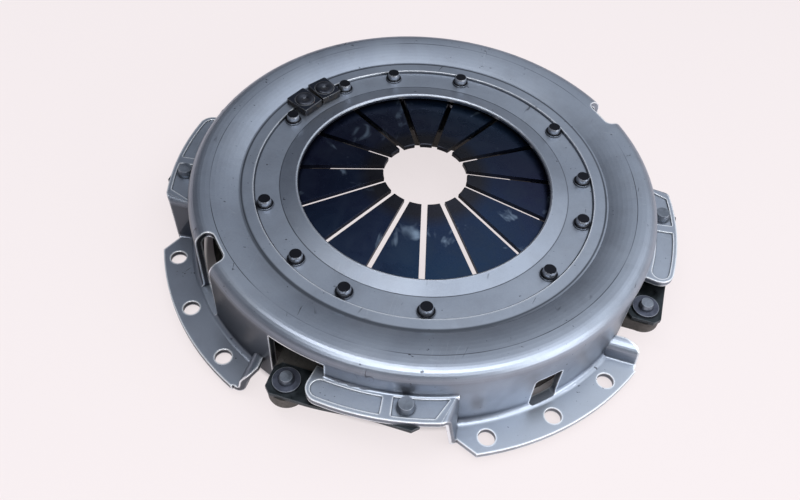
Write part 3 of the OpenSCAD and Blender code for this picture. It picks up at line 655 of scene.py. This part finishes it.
def turned(angle):
    return Matrix.Rotation(math.radians(angle + RIGHT_ANGLE), 4, "Z")


def circle_point(centre, radius, angle):
    return (centre[0] + radius * math.cos(angle), centre[1] + radius * math.sin(angle))


def corner_arc(centre, start, steps=5):
    """Points of a weight's round corner, a quarter circle anticlockwise from the angle start."""
    angles = [math.radians(start + RIGHT_ANGLE * i / steps) for i in range(steps + 1)]
    return [circle_point(centre, WEIGHT_CORNER_R, angle) for angle in angles]


def weight_mesh(k):
    """A flat-topped plate with a stepped underside, in one piece."""
    half = WEIGHT_WIDTHS[k] / 2
    side = half - WEIGHT_CORNER_R
    in_y = -WEIGHT_IN_R - WEIGHT_CORNER_R
    out_y = -WEIGHT_OUT_R + WEIGHT_CORNER_R
    right = (half, -WEIGHT_STEP_R)
    left = (-half, -WEIGHT_STEP_R)
    inner = [right] + corner_arc((side, in_y), 0) + corner_arc((-side, in_y), 90) + [left]
    outer = [left] + corner_arc((-side, out_y), 180) + corner_arc((side, out_y), 270) + [right]
    mesh = bmesh.new()

    def points(outline, z):
        return [mesh.verts.new((x * MM, y * MM, z * MM)) for x, y in outline]

    tops = points(inner + outer[1:-1], WEIGHT_TOP)
    low_in = points(inner, RIVET_FACE_H)
    low_out = points(outer, STEP_FACE_H)
    split = len(inner) - 1
    for i in range(split):
        face = [tops[i], low_in[i], low_in[i + 1], tops[i + 1]]
        if i == 0:
            face.insert(1, low_out[-1])
        if i == split - 1:
            face.insert(-1, low_out[0])
        mesh.faces.new(face)
    for i in range(len(outer) - 1):
        after = tops[(split + i + 1) % len(tops)]
        mesh.faces.new((tops[split + i], low_out[i], low_out[i + 1], after))
    mesh.faces.new(tops)
    mesh.faces.new(low_in)
    mesh.faces.new(low_out)
    mesh.faces.new((low_out[0], low_in[-1], low_in[0], low_out[-1]))
    bmesh.ops.recalc_face_normals(mesh, faces=mesh.faces)
    mesh.transform(turned(WEIGHT_ANGLES[k]))
    return finished(mesh, f"weight_plate_{k + 1}")


def lathe(mesh, profile, place, steps=48):
    """Adds a closed round form whose profile starts at the middle of its top and ends at its foot."""
    middle, *outline = profile
    centre = mesh.verts.new(place @ Vector((0.0, 0.0, middle[1] * MM)))
    angles = [math.tau * i / steps for i in range(steps)]
    rings = []
    for radius, height in outline:
        circle = [circle_point((0.0, 0.0), radius * MM, angle) for angle in angles]
        rings.append([mesh.verts.new(place @ Vector((x, y, height * MM))) for x, y in circle])
    for i in range(steps):
        j = (i + 1) % steps
        mesh.faces.new((centre, rings[0][i], rings[0][j]))
        for first, second in zip(rings, rings[1:]):
            mesh.faces.new((first[i], second[i], second[j], first[j]))
    mesh.faces.new(reversed(rings[-1]))


def rivet_heads_mesh():
    mesh = bmesh.new()
    for angle in WEIGHT_ANGLES:
        place = turned(angle) @ Matrix.Translation((0.0, -WEIGHT_RIVET_R * MM, WEIGHT_TOP * MM))
        lathe(mesh, WEIGHT_HEAD, place)
    for face in mesh.faces:
        face.smooth = True
    return finished(mesh, "weight_rivet_heads")


def add_weights(material, rivet_material):
    for k in range(len(WEIGHT_ANGLES)):
        plate = add_piece(weight_mesh(k), material)
        round_edges(plate, WEIGHT_EDGE * MM, segments=3)
        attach(plate, "cover")
        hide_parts(f"balance_weight_{k + 1}")
    heads = add_piece(rivet_heads_mesh(), rivet_material)
    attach(heads, "cover")
    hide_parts("balance_rivets")


def dress(names, material):
    """Gives CAD nodes their material."""
    for name in names:
        materials = NODES[name].data.materials
        materials.clear()
        materials.append(material)


rivet_steel = dark_steel("rivet_steel", rgb(0.10, 0.115, 0.14), rgb(0.24, 0.265, 0.31), 0.30, 0.45, rim=0.5)
washer_steel = dark_steel("washer_steel", rgb(0.045, 0.05, 0.07), rgb(0.12, 0.13, 0.17), 0.30, 0.45, rim=0.5)
strap_steel = dark_steel("strap_steel", rgb(0.010, 0.013, 0.015), rgb(0.040, 0.048, 0.055), 0.25, 0.45,
                         rim=0.15)
wire_steel = dark_steel("wire_steel", rgb(0.05, 0.05, 0.055), rgb(0.15, 0.15, 0.16), 0.3, 0.5)
black_rivet = dark_steel("black_rivet", rgb(0.018, 0.020, 0.028), rgb(0.055, 0.06, 0.075), 0.28, 0.42,
                         rim=0.9)

dress(["cover"], pressed_steel())
dress(["pressure_plate"], cast_iron())
dress(["fulcrum_ring_upper", "fulcrum_ring_lower"], wire_steel)
dress(["stud_rivets"], black_studs())
dress(FINGERS, oiled_spring())
dress(["strap_cover_rivets", "strap_plate_rivets"], rivet_steel)
dress(["strap_washers"], washer_steel)
add_weights(weight_steel(), black_rivet)
add_straps(strap_steel)
lay_floor()
light_world()
set_lights()
set_camera()
bpy.context.scene.view_settings.view_transform = "Standard"
